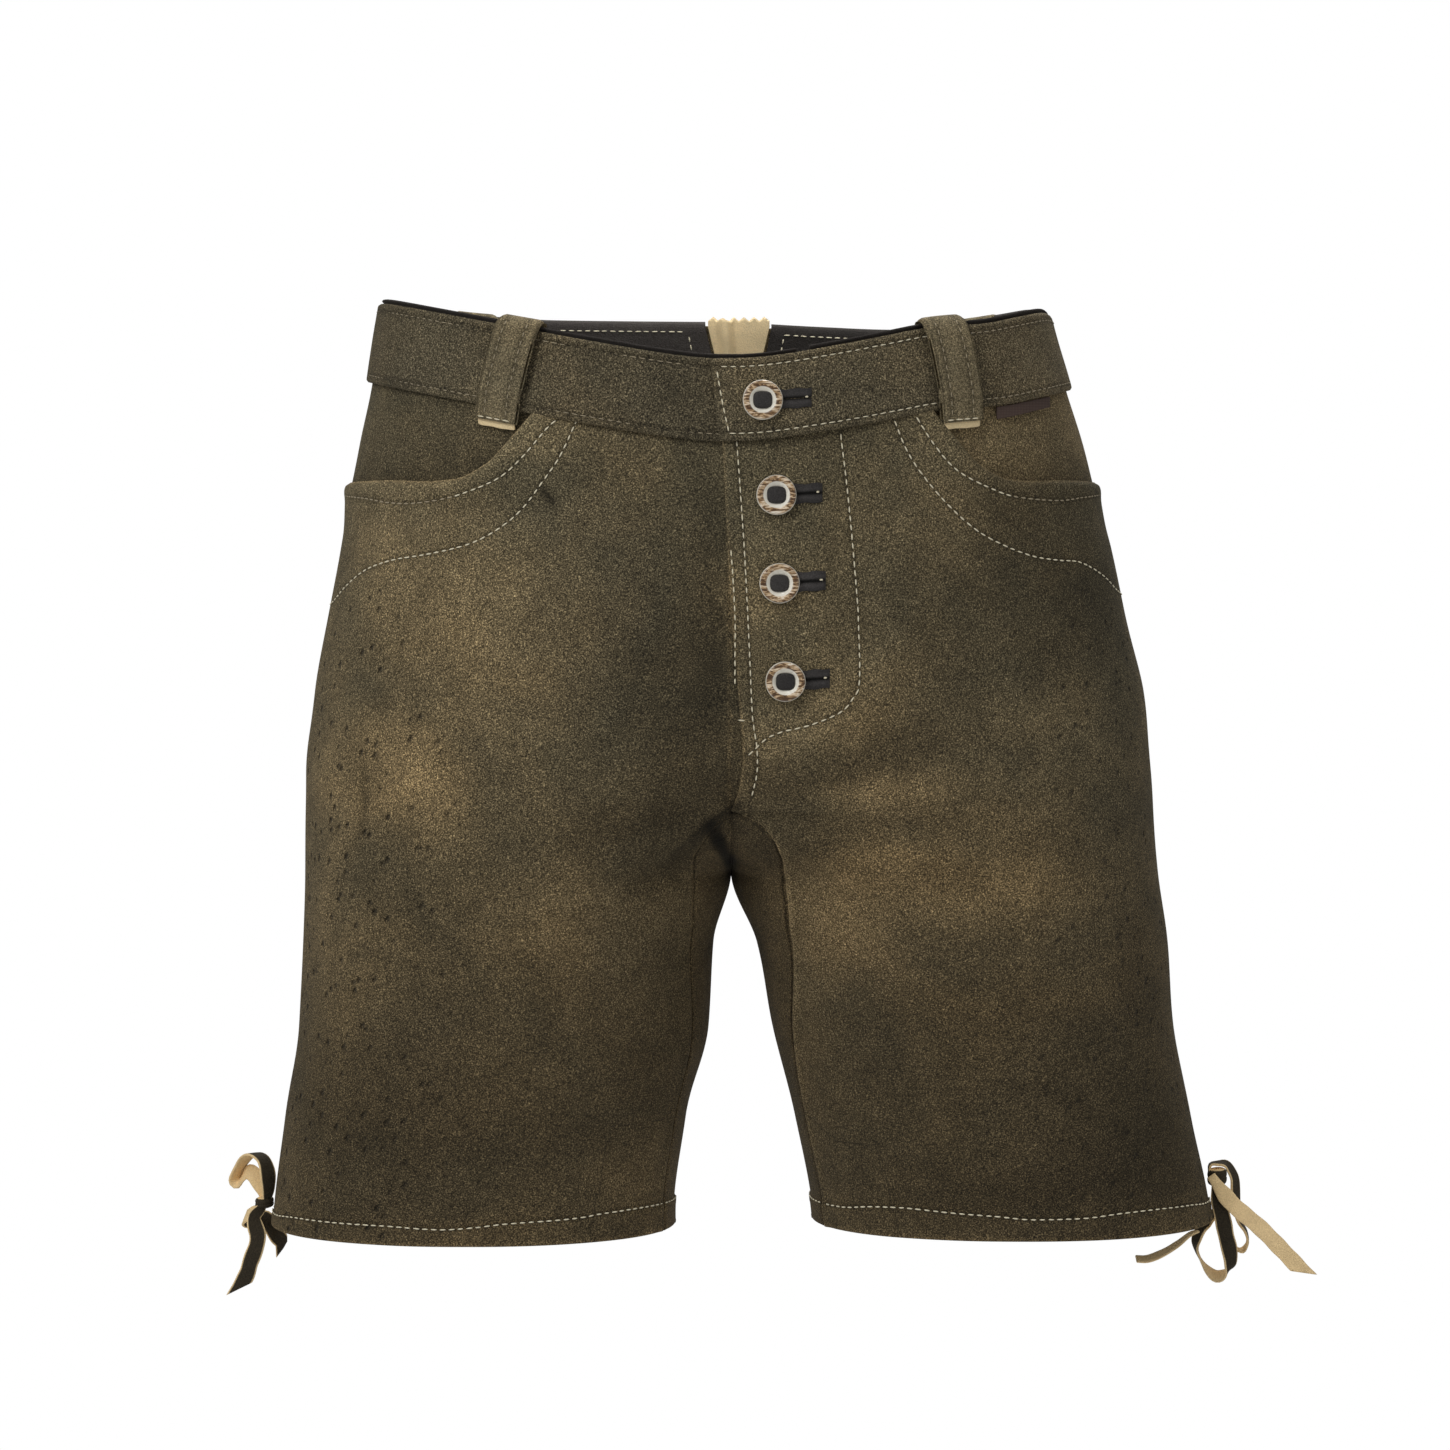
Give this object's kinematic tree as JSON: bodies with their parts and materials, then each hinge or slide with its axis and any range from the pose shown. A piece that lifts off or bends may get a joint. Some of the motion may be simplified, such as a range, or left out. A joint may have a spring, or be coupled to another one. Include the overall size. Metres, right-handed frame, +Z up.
{
  "type": "lederhosen",
  "caption": "Short suede lederhosen with a buttoned fly, curved front pockets, belt loops, a lined waistband and flat thongs tied at the hems, filled out and hollow.",
  "frame": {"origin": "middle of the waist opening, 46 mm below the waistband's top at the sides", "axes": "-Y towards the front, +X to the viewer's right as seen from the front, +Z up along the body"},
  "size_m": [0.5272, 0.2362, 0.4801],
  "materials": {
    "olive_suede": "napped suede, matte",
    "charcoal_facing": "matte lining suede",
    "cream_leather": "undyed flesh side, matte",
    "stag_horn": "polished, with brown streaks",
    "black_leather": "smooth, satin",
    "brown_tag": "matte, blank"
  },
  "bodies": {
    "root": {"back_gusset": "cream_leather", "back_left": "olive_suede", "back_right": "olive_suede", "band_left": "olive_suede", "band_right": "olive_suede", "button_1": "stag_horn", "button_2": "stag_horn", "button_3": "stag_horn", "button_4": "stag_horn", "button_bar_1": "black_leather", "button_bar_2": "black_leather", "button_bar_3": "black_leather", "button_bar_4": "black_leather", "buttonhole_1": "black_leather", "buttonhole_2": "black_leather", "buttonhole_3": "black_leather", "buttonhole_4": "black_leather", "facing_left": "charcoal_facing", "facing_right": "charcoal_facing", "front_left": "olive_suede", "front_right": "olive_suede", "loop_back_left": "olive_suede", "loop_back_right": "olive_suede", "loop_front_left": "olive_suede", "loop_front_right": "olive_suede", "pocket_left": "olive_suede", "pocket_right": "olive_suede", "side_tag": "brown_tag", "thong_left_end": "olive_suede", "thong_left_knot": "olive_suede", "thong_left_loop": "olive_suede", "thong_left_tail": "olive_suede", "thong_right_curl": "olive_suede", "thong_right_end": "olive_suede", "thong_right_knot": "olive_suede", "thong_right_loop": "olive_suede", "thong_right_tail": "olive_suede"}
  },
  "joints": []
}
